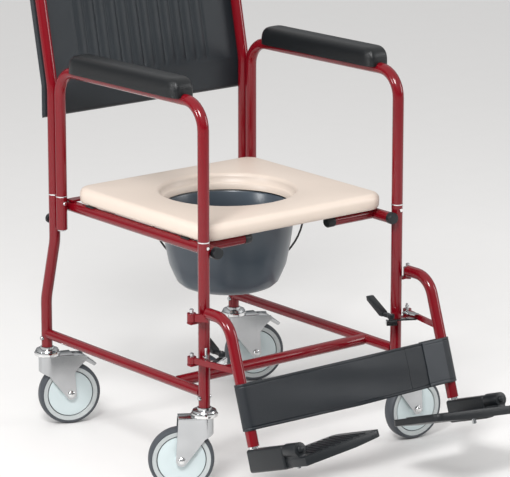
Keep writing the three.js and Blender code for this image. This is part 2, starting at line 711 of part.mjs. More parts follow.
for (const side of SIDES) {
  frontPost(side);
  rearLeg(side);
  armSocket(side);
  seatRail(side);
  lowerRail(side);
  pailRunner(side);
  armTube(side);
  armPad(side);
  armButton(side);
  backPost(side);
  pushGrip(side);
  backKnob(side);
  hanger(side);
  latchLever(side);
  extension(side);
  footplate(side);
}
crossMembers();
castors();
backPanel();
seatBoard();
pail();
bail();
calfStraps();

chair.position.set(-CENTRE_X, -CENTRE_Y, 0);

export default chair;
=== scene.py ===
import json
import math

import bmesh
import bpy
from mathutils import Matrix, Vector

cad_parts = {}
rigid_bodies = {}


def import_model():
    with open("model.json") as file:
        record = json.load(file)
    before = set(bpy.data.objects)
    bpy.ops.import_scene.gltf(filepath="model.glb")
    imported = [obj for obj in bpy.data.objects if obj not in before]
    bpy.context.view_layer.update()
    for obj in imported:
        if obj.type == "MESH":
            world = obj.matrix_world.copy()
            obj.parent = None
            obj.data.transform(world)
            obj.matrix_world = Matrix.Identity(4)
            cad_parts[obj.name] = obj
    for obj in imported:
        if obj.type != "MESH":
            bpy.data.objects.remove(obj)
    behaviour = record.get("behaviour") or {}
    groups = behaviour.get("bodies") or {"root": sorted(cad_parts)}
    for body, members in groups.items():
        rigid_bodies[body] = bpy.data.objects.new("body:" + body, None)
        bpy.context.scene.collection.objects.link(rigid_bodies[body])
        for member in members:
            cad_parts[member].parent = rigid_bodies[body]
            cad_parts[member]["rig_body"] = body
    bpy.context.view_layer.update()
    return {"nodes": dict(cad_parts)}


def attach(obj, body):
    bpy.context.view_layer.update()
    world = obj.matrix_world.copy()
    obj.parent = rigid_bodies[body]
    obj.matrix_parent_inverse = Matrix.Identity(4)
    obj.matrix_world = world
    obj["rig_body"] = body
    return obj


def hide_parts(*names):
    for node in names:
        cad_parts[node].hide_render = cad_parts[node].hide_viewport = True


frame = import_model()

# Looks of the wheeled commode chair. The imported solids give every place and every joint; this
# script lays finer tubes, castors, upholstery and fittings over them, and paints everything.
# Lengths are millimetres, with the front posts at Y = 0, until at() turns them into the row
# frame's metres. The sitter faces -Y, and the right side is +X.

# ------------------------------------------------------------------ driving dimensions

CENTRE_X = 6.8                    # middle of the chair's outline, from its front posts
CENTRE_Y = 170.4

TUBE_R = 11.0
POST_X = 236.0
SEAT_RAIL_X = 213.7
SEAT_RAIL_Z = 458.5
ARM_REAR_Y = 456.0
LEG_TOP_Y = 481.0
LEG_FOOT_Y = 514.0
LEG_FOOT_Z = 163.0
LEG_KINK_Z = (388.0, 262.0)
LOWER_RAIL_R = 10.0
LOWER_RAIL_Z = 189.5
CROSS_TUBE_Y = 90.5
SOCKET_TOP_Z = 481.0
SOCKET_FOOT_Z = 415.0
BORE_FOOT_Z = 405.0
BORE_R = 9.5
SPIGOT_FOOT_Z = 412.0
SPIGOT_R = 9.1
STUB_Y = 43.0
STUB_END_X = 104.0
STUB_R = 10.0

ARM_FRONT_Z = 742.0
ARM_REAR_Z = 733.0
ARM_BEND_R = 50.0
PAD_LENGTH = 346.0
PAD_MIDDLE_Y = 227.0
PAD_HALF_WIDTH = 25.0
PAD_FOOT = 4.0
PAD_TOP = 41.0

BACK_KNEE_Z = 695.0
BACK_LEAN = math.radians(12)
BACK_BEND_R = 120.0
HANDLE_Z = 925.0
HANDLE_BEND_R = 45.0
HANDLE_END_Y = 656.0
KNOB_Z = 429.0
PANEL_HALF_WIDTH = 249.0
PANEL_Z = (632.0, 884.0)
PANEL_HALF_DEPTH = 6.0
PANEL_EDGE = 9.0                  # width of the panel's rounded border
PLEAT_PITCH = 26.0
PLEAT_HALF_COUNT = 6
PLEAT_FOOT_Z = 700.0
PLEAT_TOP_Z = 868.0
PLEAT_CREST = 5.0                 # height of a pleat over the stitching beside it
PLEAT_SINK = 3.4                  # depth of the stitching below the plain face

SEAT_HALF_WIDTH = 222.0
SEAT_Y = (15.0, 437.0)
SEAT_Z = (471.3, 503.0)
SEAT_CORNER_R = 34.0
SEAT_EDGE_R = 13.0
HOLE_Y = 231.0
HOLE_R = 127.0
BAIL_HALF_WIDTH = 148.0
BAIL_REACH = 190.0
BAIL_Z = 455.0
BAIL_EYE = 134.0                  # middle of the pail to the ends of the bail
BAIL_TURN = math.radians(51.6)
BAIL_DROP = math.radians(55)

WHEEL_R = 62.5
TRAIL = 44.0
FORK_HALF = 17.6                  # middle of the fork to the outside of a cheek
FORK_SHEET = 2.4
FORK_REACH = 50.0                 # length of the cheek's top edge behind the stem
FORK_ROOF_Z = 142.0
RACE_Z = 148.0                    # the bearing race over the fork's roof
NUT_OUT = 17.5                    # middle of the fork to the foot of an axle nut
FORK_NECK_Z = 103.0               # the fork's lower edge beside the stem
NOSE_RISE = 9.0                   # rise of that edge from there to the tip of the nose
EYE_R = 11.0                      # rounding of the cheek about the axle
EYE_START = math.radians(235)
CASTORS = (
    ("front_left", -POST_X, 0.0, 147.0),
    ("front_right", POST_X, 0.0, -4.0),
    ("rear_left", -POST_X, LEG_FOOT_Y, -20.0),
    ("rear_right", POST_X, LEG_FOOT_Y, -20.0),
)

HINGE_X = 265.0
HANGER_X = 245.0
HANGER_TOP_Z = 351.0
HANGER_START_Y = -25.0
HANGER_BEND_R = 46.0
HANGER_END = 15.0
RAKE = math.radians(18.5)
ANKLE_Y = -164.6
ANKLE_Z = 113.0
HUB_FORWARD = (-11, 99)           # the footrest's hub block: along the plate's axis,
HUB_UP = (-33, 11)                # and up the footrest tube
PLATE_UP = math.radians(5.3)
PLATE_TOP_DROP = 13.9             # the plate's hinge axis to the plate's upper face
RIB_START = 30
RIB_PITCH = 15
STRAP_UP = (45.0, 132.0)
STRAP_SPLIT_X = 140.0
HEM_LEVELS = (0, 0.6, 1.6, 4.2, 5.0, 5.8, 8, 18, 30)  # rows of points in from a strap's edge
SEAM_IN = 5.0
SEAM_SQUEEZE = 0.4
STRAP_LAP_R = 12.6                # middle of the strap's thickness, round the footrest tube

SIDES = (("left", -1.0), ("right", 1.0))
UP = (0, 0, 1)


def at(x, y, z):
    return Vector(((x - CENTRE_X) / 1000, (y - CENTRE_Y) / 1000, z / 1000))


def ankle(x, forward, up):
    """A point near the footrests: forward along the plates' axes and up the footrest tubes."""
    y = ANKLE_Y - forward * math.cos(RAKE) + up * math.sin(RAKE)
    z = ANKLE_Z + forward * math.sin(RAKE) + up * math.cos(RAKE)
    return at(x, y, z)


# ------------------------------------------------------------------ materials

def surface(name, colour, roughness, metallic=0.0, coat=0.0, variation=0.05, grain=(400, 0.03),
            specular=0.5):
    """A painted, moulded or plated surface: slightly uneven colour over a fine grain."""
    material = bpy.data.materials.new(name)
    material.use_nodes = True
    nodes = material.node_tree.nodes
    links = material.node_tree.links
    shader = nodes["Principled BSDF"]
    shader.inputs["Roughness"].default_value = roughness
    shader.inputs["Metallic"].default_value = metallic
    shader.inputs["Specular IOR Level"].default_value = specular
    shader.inputs["Coat Weight"].default_value = coat
    shader.inputs["Coat Roughness"].default_value = 0.08
    place = nodes.new("ShaderNodeTexCoord")
    cloud = nodes.new("ShaderNodeTexNoise")
    cloud.inputs["Scale"].default_value = 14
    ramp = nodes.new("ShaderNodeValToRGB")
    for stop, share in zip(ramp.color_ramp.elements, (1 - variation, 1 + variation)):
        stop.color = (*(min(channel * share, 1) for channel in colour), 1)
    links.new(place.outputs["Object"], cloud.inputs["Vector"])
    links.new(cloud.outputs["Fac"], ramp.inputs["Fac"])
    links.new(ramp.outputs["Color"], shader.inputs["Base Color"])
    scale, strength = grain
    fine = nodes.new("ShaderNodeTexNoise")
    fine.inputs["Scale"].default_value = scale
    fine.inputs["Detail"].default_value = 3
    bump = nodes.new("ShaderNodeBump")
    bump.inputs["Strength"].default_value = strength
    bump.inputs["Distance"].default_value = 0.001
    links.new(place.outputs["Object"], fine.inputs["Vector"])
    links.new(fine.outputs["Fac"], bump.inputs["Height"])
    links.new(bump.outputs["Normal"], shader.inputs["Normal"])
    return material


RED = surface("red_paint", (0.165, 0.002, 0.007), 0.22, coat=0.55, grain=(60, 0.04), specular=0.15)
ZINC = surface("zinc", (0.50, 0.51, 0.52), 0.17, metallic=1.0, variation=0.3, grain=(900, 0.05))
CHROME = surface("chrome", (0.75, 0.75, 0.75), 0.1, metallic=1.0)
WHEEL = surface("wheel_plastic", (0.57, 0.65, 0.66), 0.35)
RIM_RUBBER = surface("rim_rubber", (0.47, 0.50, 0.50), 0.5)
TYRE = surface("tyre_rubber", (0.055, 0.062, 0.072), 0.5, grain=(700, 0.15))
BLACK = surface("black_plastic", (0.010, 0.012, 0.014), 0.33, grain=(1200, 0.25), specular=0.35)
FOAM = surface("pad_foam", (0.007, 0.008, 0.009), 0.3, grain=(1500, 0.3), specular=0.35)
VINYL = surface("back_vinyl", (0.014, 0.018, 0.022), 0.42, variation=0.15, grain=(900, 0.45),
                specular=0.35)
STRAP = surface("strap_vinyl", (0.010, 0.013, 0.017), 0.38, variation=0.15, grain=(1100, 0.5),
                specular=0.4)
STRAP_LAP = surface("strap_lap", (0.026, 0.031, 0.038), 0.40, grain=(1100, 0.5))
SEAT = surface("seat_plastic", (0.68, 0.58, 0.50), 0.38, variation=0.025, grain=(500, 0.06))
PAIL = surface("pail_plastic", (0.050, 0.068, 0.088), 0.28, grain=(600, 0.05))
WIRE = surface("wire", (0.05, 0.05, 0.05), 0.4, metallic=0.8)
FLOOR = surface("floor", (0.80, 0.79, 0.78), 0.6, variation=0.01)


# ------------------------------------------------------------------ mesh helpers

def place(name, vertices, faces, material, body, smooth=40):
    """Makes a mesh that rides on a CAD body. Edges sharper than smooth degrees stay crisp."""
    mesh = bpy.data.meshes.new(name)
    mesh.from_pydata([tuple(vertex) for vertex in vertices], [], faces)
    mesh.polygons.foreach_set("use_smooth", [True] * len(mesh.polygons))
    mesh.set_sharp_from_angle(angle=math.radians(smooth))
    mesh.materials.append(material)
    piece = bpy.data.objects.new(name, mesh)
    bpy.context.scene.collection.objects.link(piece)
    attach(piece, body)
    return piece


def skin(rings, closed=False):
    """Faces between successive rings of equal length. A closed skin joins the last to the first."""
    count = len(rings[0])
    faces = []
    spans = len(rings) if closed else len(rings) - 1
    for i in range(spans):
        here = i * count
        there = (i + 1) % len(rings) * count
        for k in range(count):
            after = (k + 1) % count
            faces.append((here + k, here + after, there + after, there + k))
    if not closed:
        faces.append(tuple(reversed(range(count))))
        faces.append(tuple(range((len(rings) - 1) * count, len(rings) * count)))
    return [point for ring in rings for point in ring], faces


def round_corners(corners, radius, steps=8):
    """Replaces each inner corner of a line by an arc tangent to both its sides."""
    line = [corners[0]]
    for before, corner, after in zip(corners, corners[1:], corners[2:]):
        back = (before - corner).normalized()
        on = (after - corner).normalized()
        turn = math.pi - back.angle(on)
        start = corner + back * radius * math.tan(turn / 2)
        centre = corner + (back + on).normalized() * radius / math.cos(turn / 2)
        axis = on.cross(back).normalized()
        for k in range(steps + 1):
            swing = Matrix.Rotation(turn * k / steps, 3, axis)
            line.append(centre + swing @ (start - centre))
    line.append(corners[-1])
    return line


def swept_rings(line, radius, sides):
    """Circles square to a line, each turned as little as possible from the last."""
    ahead = (line[1] - line[0]).normalized()
    spoke = ahead.orthogonal().normalized()
    rings = []
    for i, centre in enumerate(line):
        before = line[max(i - 1, 0)]
        after = line[min(i + 1, len(line) - 1)]
        along = ((centre - before).normalized() + (after - centre).normalized()).normalized()
        spoke = (spoke - along * spoke.dot(along)).normalized()
        other = along.cross(spoke)
        angles = (2 * math.pi * k / sides for k in range(sides))
        rings.append([centre + radius * (math.cos(a) * spoke + math.sin(a) * other) for a in angles])
    return rings


def tube(name, corners, body, bend=0.0, radius=TUBE_R, material=None, sides=32):
    line = [at(*corner) for corner in corners]
    if bend:
        line = round_corners(line, bend / 1000)
    vertices, faces = skin(swept_rings(line, radius / 1000, sides))
    return place(name, vertices, faces, material or RED, body)


def socket_tube(name, corners, body, bend=0.0):
    """A tube from its foot up to an open mouth, with a bore that takes a spigot."""
    line = [at(*corner) for corner in corners]
    if bend:
        line = round_corners(line, bend / 1000)
    rings = swept_rings(line, TUBE_R / 1000, 32)
    mouth = line[-1]
    floor = Vector((mouth.x, mouth.y, BORE_FOOT_Z / 1000))
    for centre in (mouth, floor):
        rings.append([centre + (point - mouth) * BORE_R / TUBE_R for point in rings[len(line) - 1]])
    vertices, faces = skin(rings)
    return place(name, vertices, faces, RED, body)


def open_tube(name, x, y):
    height = SOCKET_TOP_Z - SOCKET_FOOT_Z
    outline = [(BORE_R, 0), (TUBE_R, 0), (TUBE_R, height), (BORE_R, height)]
    return turned(name, outline, at(x, y, SOCKET_FOOT_Z), UP, RED, "frame", sides=32)


def spigot(name, x, y, body):
    """The bright end of a removable tube, which plugs into its socket."""
    outline = [(0, 0), (8.2, 0), (SPIGOT_R, 1.5), (SPIGOT_R, SOCKET_TOP_Z + 4 - SPIGOT_FOOT_Z)]
    outline.append((0, SOCKET_TOP_Z + 4 - SPIGOT_FOOT_Z))
    turned(name, outline, at(x, y, SPIGOT_FOOT_Z), UP, ZINC, body, sides=32)


def turned(name, outline, foot, axis, material, body, sides=48, smooth=40):
    """A body of revolution from (radius, height) pairs, standing on foot along axis.

    An outline that stays off the axis at both ends makes a ring.
    """
    axis = Vector(axis).normalized()
    spoke = axis.orthogonal().normalized()
    other = axis.cross(spoke)
    rings = []
    for radius, height in outline:
        centre = foot + axis * height / 1000
        size = max(radius, 0.02) / 1000
        angles = (2 * math.pi * k / sides for k in range(sides))
        rings.append([centre + size * (math.cos(a) * spoke + math.sin(a) * other) for a in angles])
    vertices, faces = skin(rings, closed=min(outline[0][0], outline[-1][0]) > 0)
    return place(name, vertices, faces, material, body, smooth)


def box(name, low, high, material, body, bevel=0.6):
    """A block between two corners, given in millimetres, with softened edges."""
    shape = bmesh.new()
    bmesh.ops.create_cube(shape, size=1)
    corner_a, corner_b = at(*low), at(*high)
    middle = (corner_a + corner_b) / 2
    span = corner_b - corner_a
    for vertex in shape.verts:
        vertex.co = middle + Vector(a * b for a, b in zip(vertex.co, span))
    bmesh.ops.bevel(
        shape, geom=shape.edges[:], offset=bevel / 1000, segments=2, affect="EDGES", profile=0.5,
    )
    bmesh.ops.recalc_face_normals(shape, faces=shape.faces)
    return from_bmesh(name, shape, material, body)


def from_bmesh(name, shape, material, body):
    shape.verts.index_update()
    vertices = [vertex.co.copy() for vertex in shape.verts]
    faces = [[vertex.index for vertex in face.verts] for face in shape.faces]
    shape.free()
    return place(name, vertices, faces, material, body)


def softened(node, bevel, material):
    """A CAD piece with its sharp edges rounded, shown in the CAD piece's stead."""
    shape = bmesh.new()
    shape.from_mesh(frame["nodes"][node].data)
    bmesh.ops.remove_doubles(shape, verts=shape.verts, dist=1e-5)
    bmesh.ops.dissolve_limit(
        shape, angle_limit=math.radians(1), verts=shape.verts, edges=shape.edges,
    )
    sharp = [
        edge for edge in shape.edges
        if len(edge.link_faces) == 2 and edge.calc_face_angle(0) > math.radians(32)
    ]
    bmesh.ops.bevel(
        shape, geom=sharp, offset=bevel / 1000, segments=2, affect="EDGES", profile=0.5,
        clamp_overlap=True,
    )
    piece = from_bmesh(f"{node}_fine", shape, material, frame["nodes"][node]["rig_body"])
    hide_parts(node)
    return piece


def bolt(name, foot, axis, radius, height, material, body):
    outline = [(0, 0), (radius, 0), (radius, height * 0.55), (radius * 0.75, height), (0, height)]
    return turned(name, outline, foot, axis, material, body, sides=24)


# ------------------------------------------------------------------ frame

def highlight_ring(name, x, y, body):
    """Painted highlight: a chrome band where a removable tube meets its socket, in place of the light
    that the socket's red rim catches.
    """
    outline = [(11.1, -1.2), (11.5, -0.8), (11.5, 0.8), (11.1, 1.2)]
    turned(name, outline, at(x, y, SOCKET_TOP_Z), UP, CHROME, body, sides=32)


def front_post(side, sign):
    x = sign * POST_X
    corners = [(x, 0, LEG_FOOT_Z), (x, 0, SOCKET_TOP_Z)]
    post = socket_tube(f"front_post_{side}_tube", corners, "frame")
    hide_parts(f"front_post_{side}")
    # chrome band at the joint: a painted highlight on the socket's red rim
    highlight_ring(f"front_highlight_ring_{side}", x, 0, "frame")
    for level, (plate, pin_top) in enumerate(((333.4, 357), (252.4, 272))):
        low = (min(sign * 246, sign * 272), -7, plate - 5)
        high = (max(sign * 246, sign * 272), 7, plate)
        box(f"front_ear_{side}_{level}", low, high, RED, "frame", bevel=2.0)
        pin = [(4, 0), (4, pin_top - plate + 3), (3, pin_top - plate + 4), (0, pin_top - plate + 4)]
        foot = at(sign * HINGE_X, 0, plate - 3)
        turned(f"hinge_pin_{side}_{level}", [(0, 0), *pin], foot, UP, ZINC, "frame", 24)


def rear_leg(side, sign):
    x = sign * POST_X
    corners = [
        (x, LEG_FOOT_Y, LEG_FOOT_Z),
        (x, LEG_FOOT_Y, LEG_KINK_Z[1]),
        (x, LEG_TOP_Y, LEG_KINK_Z[0]),
        (x, LEG_TOP_Y, SOCKET_TOP_Z),
    ]
    leg = socket_tube(f"rear_leg_{side}_tube", corners, "frame", bend=90)
    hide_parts(f"rear_leg_{side}")
    socket = open_tube(f"arm_socket_{side}_tube", x, ARM_REAR_Y)
    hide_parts(f"arm_socket_{side}")
    low = (x - 3, ARM_REAR_Y + 9, 420)
    high = (x + 3, LEG_TOP_Y - 9, 476)
    box(f"arm_socket_web_{side}", low, high, RED, "frame")
    # chrome bands at these joints: painted highlights on the sockets' red rims
    highlight_ring(f"back_highlight_ring_{side}", x, LEG_TOP_Y, "frame")
    highlight_ring(f"arm_highlight_ring_{side}", x, ARM_REAR_Y, "frame")
    foot = at(x, ARM_REAR_Y - TUBE_R + 0.5, 468)
    bolt(f"socket_bolt_{side}", foot, (0, -1, 0), 4, 3.5, CHROME, "frame")


def leg_bolts(side, sign):
    for end, y in (("front", 0), ("rear", LEG_FOOT_Y)):
        for way in (-1, 1):
            foot = at(sign * POST_X + way * (TUBE_R - 0.4), y, 181)
            bolt(f"leg_bolt_{side}_{end}_{way}", foot, (way, 0, 0), 4.6, 4, ZINC, "frame")


def seat_rail(side, sign):
    x = sign * SEAT_RAIL_X
    rail = tube(f"seat_rail_{side}_tube", [(x, -9, SEAT_RAIL_Z), (x, 466, SEAT_RAIL_Z)], "frame")
    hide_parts(f"seat_rail_{side}")
    stub = [(x, STUB_Y, SEAT_RAIL_Z), (sign * STUB_END_X, STUB_Y, SEAT_RAIL_Z)]
    tube(f"seat_stub_{side}", stub, "frame", radius=STUB_R)
    plug = [(0, -3), (11.6, -3), (11.6, 6), (10.2, 8.5), (0, 9)]
    turned(f"rail_plug_{side}", plug, at(x, -9, SEAT_RAIL_Z), (0, -1, 0), BLACK, "frame", 32)
    cap = [(0, -3), (10.8, -3), (10.8, 11), (9, 13.5), (0, 14)]
    foot = at(sign * (STUB_END_X + 3), STUB_Y, SEAT_RAIL_Z)
    turned(f"stub_cap_{side}", cap, foot, (-sign, 0, 0), BLACK, "frame", 32)
    for index, y in enumerate((80, 386)):
        low = (x - 7, y - 12, SEAT_RAIL_Z + 10)
        high = (x + 7, y + 12, SEAT_Z[0] - 0.1)
        box(f"seat_clip_{side}_{index}", low, high, BLACK, "frame")


def lower_frame():
    for side, sign in SIDES:
        x = sign * POST_X
        corners = [(x, 9, LOWER_RAIL_Z), (x, LEG_FOOT_Y - 9, LOWER_RAIL_Z)]
        rail = tube(f"lower_rail_{side}_tube", corners, "frame", radius=LOWER_RAIL_R)
        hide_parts(f"lower_rail_{side}")
    reach = POST_X - 8
    corners = [(-reach, CROSS_TUBE_Y, LOWER_RAIL_Z), (reach, CROSS_TUBE_Y, LOWER_RAIL_Z)]
    cross = tube("front_cross_tube_fine", corners, "frame")
    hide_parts("front_cross_tube")


# ------------------------------------------------------------------ castors

def fork_edge():
    """A cheek as pairs: a point of its lower edge, and the point over it on its top edge.

    The lower edge falls in a straight line from under the stem, and turns round the axle.
    """
    arc = (2 * math.pi - EYE_START) / 8
    turns = [EYE_START + arc * k for k in range(9)]
    eye = [(TRAIL + EYE_R * math.cos(turn), WHEEL_R + EYE_R * math.sin(turn)) for turn in turns]
    reach, foot = eye[0]
    slope = [(reach * k / 6, FORK_NECK_Z + (foot - FORK_NECK_Z) * k / 6) for k in range(6)]
    low = slope + eye
    last = len(low) - 1
    return [(point, (FORK_REACH * k / last, FORK_ROOF_Z)) for k, point in enumerate(low)]


def castor_fork(name, x, y, along, across):
    """A fork pressed from one sheet: two cheeks joined by a rounded nose under a flat roof."""
    centre = at(x, y, 0)
    body = f"fork_{name}"
    inner = FORK_HALF - FORK_SHEET

    def point(ahead, aside, height):
        return centre + (along * ahead + across * aside + Vector((0, 0, height))) / 1000

    def cheek(side):
        rings = []
        for low, top in fork_edge():
            rings.append([
                point(low[0], side * FORK_HALF, low[1]), point(low[0], side * inner, low[1]),
                point(top[0], side * inner, top[1]), point(top[0], side * FORK_HALF, top[1]),
            ])
        return rings

    def nose():
        rings = []
        for turn in half_turn(12)[1:-1]:
            ahead, aside = math.cos(turn), math.sin(turn)
            low = FORK_NECK_Z - NOSE_RISE * ahead
            rings.append([
                point(ahead * FORK_HALF, aside * FORK_HALF, low),
                point(ahead * inner, aside * inner, low),
                point(ahead * inner, aside * inner, FORK_ROOF_Z),
                point(ahead * FORK_HALF, aside * FORK_HALF, FORK_ROOF_Z),
            ])
        return rings

    rings = cheek(1)[::-1] + nose() + cheek(-1)
    piece = place(f"castor_fork_{name}_fine", *skin(rings), ZINC, body)
    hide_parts(f"castor_fork_{name}")
    fork_roof(name, point, body)
    if name.startswith("rear"):
        pedal_ears(name, point, body)
    axle = [(0, -17), (4.2, -17), (4.2, 17), (0, 17)]
    turned(f"castor_axle_{name}", axle, point(TRAIL, 0, WHEEL_R), across, CHROME, body, 20)


def half_turn(steps):
    """Angles round the fork's nose, from one cheek to the other."""
    return [math.pi / 2 + math.pi * k / steps for k in range(steps + 1)]


def fork_roof(name, point, body):
    """The flat top that closes the fork, with a rounded upper edge."""
    rings = []
    for height, inset in ((-0.6, 0.4), (1.8, 0.0), (3.4, 0.6), (4.0, 2.2)):
        wide = FORK_HALF - inset
        z = FORK_ROOF_Z + height
        ring = [point(wide * math.cos(turn), wide * math.sin(turn), z) for turn in half_turn(16)]
        ring += [point(FORK_REACH - inset, side * wide, z) for side in (-1, 1)]
        rings.append(ring)
    place(f"castor_roof_{name}", *skin(rings), ZINC, body)


def pedal_ears(name, point, body):
    """The two plates that carry a rear castor's brake pedal."""
    ear = [(44, 143), (76, 141), (79, 134), (62, 119), (50, 104), (44, 104)]
    for way in (-1, 1):
        faces = sorted((way * (FORK_HALF - FORK_SHEET - 0.2), way * (FORK_HALF + 0.2)))
        sides = [[point(ahead, aside, z) for ahead, z in ear] for aside in faces]
        place(f"castor_ear_{name}_{way}", *skin(sides), ZINC, body)


def castor(name, x, y, heading):
    """One swivel castor, whose wheel trails from the stem towards its heading."""
    turn = Matrix.Rotation(math.radians(heading), 3, "Z")
    along = turn @ Vector((1, 0, 0))
    across = turn @ Vector((0, 1, 0))
    hub = at(x, y, WHEEL_R) + along * TRAIL / 1000
    castor_stem(name, x, y)
    castor_fork(name, x, y, along, across)
    castor_bearing(name, x, y, hub, across)
    castor_wheel(name, hub, across)


def castor_stem(name, x, y):
    stem = [(0, -10), (23, -10), (24, -8.5), (22, -5.5), (14, -4.5), (13.5, -0.4), (0, -0.4)]
    piece = turned(f"castor_stem_{name}_fine", stem, at(x, y, LEG_FOOT_Z), UP, ZINC, "frame")
    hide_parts(f"castor_stem_{name}")


def castor_bearing(name, x, y, hub, across):
    """The bright race under the stem, and the nuts on the axle."""
    body = f"fork_{name}"
    race = [(0, -3), (24.5, -3), (26, -1.5), (26, 2.5), (24, 4.4), (0, 4.4)]
    turned(f"castor_race_{name}", race, at(x, y, RACE_Z), UP, CHROME, body, 48)
    nut = [(0, 0), (7, 0), (7, 2), (5.5, 3), (5, 4.6), (3, 5.6), (0, 5.8)]
    for way in (-1, 1):
        foot = hub + across * way * NUT_OUT / 1000
        turned(f"castor_nut_{name}_{way}", nut, foot, across * way, CHROME, body, 24)


def both_faces(outline):
    """A wheel's outline over its full width, from the half below its middle."""
    return outline + [(radius, -height) for radius, height in reversed(outline)]


def castor_wheel(name, hub, across):
    """Plastic disc, dark groove, pale rim and tyre."""
    body = f"wheel_{name}"
    disc = [(0, -14), (10, -14), (11.5, -13), (12.5, -9.5), (26, -9), (43, -10.5), (45.2, -10)]
    groove = [(45.1, -8), (47.2, -8)]
    rim = [(47.1, -10), (47.6, -11.5), (55, -12.5), (55.6, -11.5)]
    tread = [(55.4, -11.8), (57, -12.6), (60, -11.8), (62, -8.5), (WHEEL_R, -3)]
    wheel = turned(f"castor_wheel_{name}_fine", both_faces(disc), hub, across, WHEEL, body, 64)
    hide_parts(f"castor_wheel_{name}")
    turned(f"castor_groove_{name}", both_faces(groove), hub, across, TYRE, body, 64)
    turned(f"castor_rim_{name}", both_faces(rim), hub, across, RIM_RUBBER, body, 64)
    tyre = turned(f"castor_tyre_{name}_fine", both_faces(tread), hub, across, TYRE, body, 96)
    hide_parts(f"castor_tyre_{name}")


def castors():
    for name, x, y, heading in CASTORS:
        castor(name, x, y, heading)
    for side in ("left", "right"):
        softened(f"castor_brake_rear_{side}", 1.5, ZINC)


# ------------------------------------------------------------------ arms

def arm_height(y):
    return ARM_FRONT_Z + (ARM_REAR_Z - ARM_FRONT_Z) * y / ARM_REAR_Y


def arm(side, sign):
    x = sign * POST_X
    foot = SOCKET_TOP_Z + 0.3
    corners = [(x, 0, foot), (x, 0, ARM_FRONT_Z), (x, ARM_REAR_Y, ARM_REAR_Z), (x, ARM_REAR_Y, foot)]
    piece = tube(f"arm_tube_{side}_fine", corners, f"arm_{side}", bend=ARM_BEND_R)
    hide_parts(f"arm_tube_{side}")
    spigot(f"arm_spigot_front_{side}", x, 0, f"arm_{side}")
    spigot(f"arm_spigot_rear_{side}", x, ARM_REAR_Y, f"arm_{side}")


def pad_section(width, top, count=20):
    """A crowned section that starts and ends at the edges of its channel for the arm tube."""
    channel = TUBE_R + 0.4
    low = math.asin(PAD_FOOT / channel)
    section = []
    for k in range(count + 1):
        angle = math.pi * k / count
        out = math.copysign(abs(math.cos(angle)) ** 0.45, math.cos(angle))
        section.append((width * out, PAD_FOOT + (top - PAD_FOOT) * math.sin(angle) ** 0.5))
    for k in range(7):
        angle = math.pi - low - (math.pi - 2 * low) * k / 6
        section.append((channel * math.cos(angle), channel * math.sin(angle)))
    return section


def arm_pad(side, sign):
    """A moulded pad whose ends are rounded in plan and in side view."""
    rings = []
    half = PAD_LENGTH / 2
    for k in range(41):
        t = -math.cos(math.pi * k / 40)
        fall = max(abs(t) * half - (half - 24), 0) / 24
        round_off = math.sqrt(max(1 - fall * fall, 0))
        width = PAD_HALF_WIDTH * (0.62 + 0.38 * round_off)
        top = 20 + (PAD_TOP - 20) * round_off
        y = PAD_MIDDLE_Y + t * half
        height = arm_height(y)
        ring = [at(sign * POST_X + out, y, height + up) for out, up in pad_section(width, top)]
        rings.append(ring)
    vertices, faces = skin(list(reversed(rings)))
    pad = place(f"arm_pad_{side}_fine", vertices, faces, FOAM, f"arm_{side}", smooth=50)
    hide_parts(f"arm_pad_{side}")


# ------------------------------------------------------------------ back

def back_y(z):
    return LEG_TOP_Y + max(z - BACK_KNEE_Z, 0) * math.tan(BACK_LEAN)


def back_post(side, sign):
    x = sign * POST_X
    corners = [
        (x, LEG_TOP_Y, SOCKET_TOP_Z + 0.3),
        (x, LEG_TOP_Y, BACK_KNEE_Z),
        (x, back_y(HANDLE_Z), HANDLE_Z),
        (x, HANDLE_END_Y, HANDLE_Z),
    ]
    line = [at(*corner) for corner in corners]
    lower = round_corners(line[:3], BACK_BEND_R / 1000)[:-1]
    upper = round_corners(line[1:], HANDLE_BEND_R / 1000)[1:]
    vertices, faces = skin(swept_rings(lower + upper, TUBE_R / 1000, 32))
    post = place(f"back_post_{side}_fine", vertices, faces, RED, "back")
    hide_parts(f"back_post_{side}")
    spigot(f"back_spigot_{side}", x, LEG_TOP_Y, "back")


def push_grip(side, sign):
    outline = [(0, -84), (15, -84), (16.4, -82)]
    for k in range(12):
        outline += [(15.4, -78 + 6 * k), (14.6, -75 + 6 * k)]
    outline += [(15.4, -4), (14, 4), (8, 8.6), (0, 9)]
    foot = at(sign * POST_X, HANDLE_END_Y, HANDLE_Z)
    grip = turned(f"push_grip_{side}_fine", outline, foot, (0, 1, 0), BLACK, "back")
    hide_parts(f"push_grip_{side}")


def panel_relief(x, z):
    """How far the panel's face stands out from its middle, with pleats between rows of stitching."""
    border = min(PANEL_HALF_WIDTH - abs(x), z - PANEL_Z[0], PANEL_Z[1] - z)
    puff = math.sqrt(max(1 - (1 - min(max(border, 0) / PANEL_EDGE, 1)) ** 2, 0))
    reach = PLEAT_PITCH * PLEAT_HALF_COUNT
    inside = min(reach + 4 - abs(x), z - PLEAT_FOOT_Z, PLEAT_TOP_Z - z)
    share = min(max(inside / 7, 0), 1)
    wave = abs(math.sin(math.pi * x / PLEAT_PITCH)) ** 0.6
    return PANEL_HALF_DEPTH * puff + share * (PLEAT_CREST * wave - PLEAT_SINK)


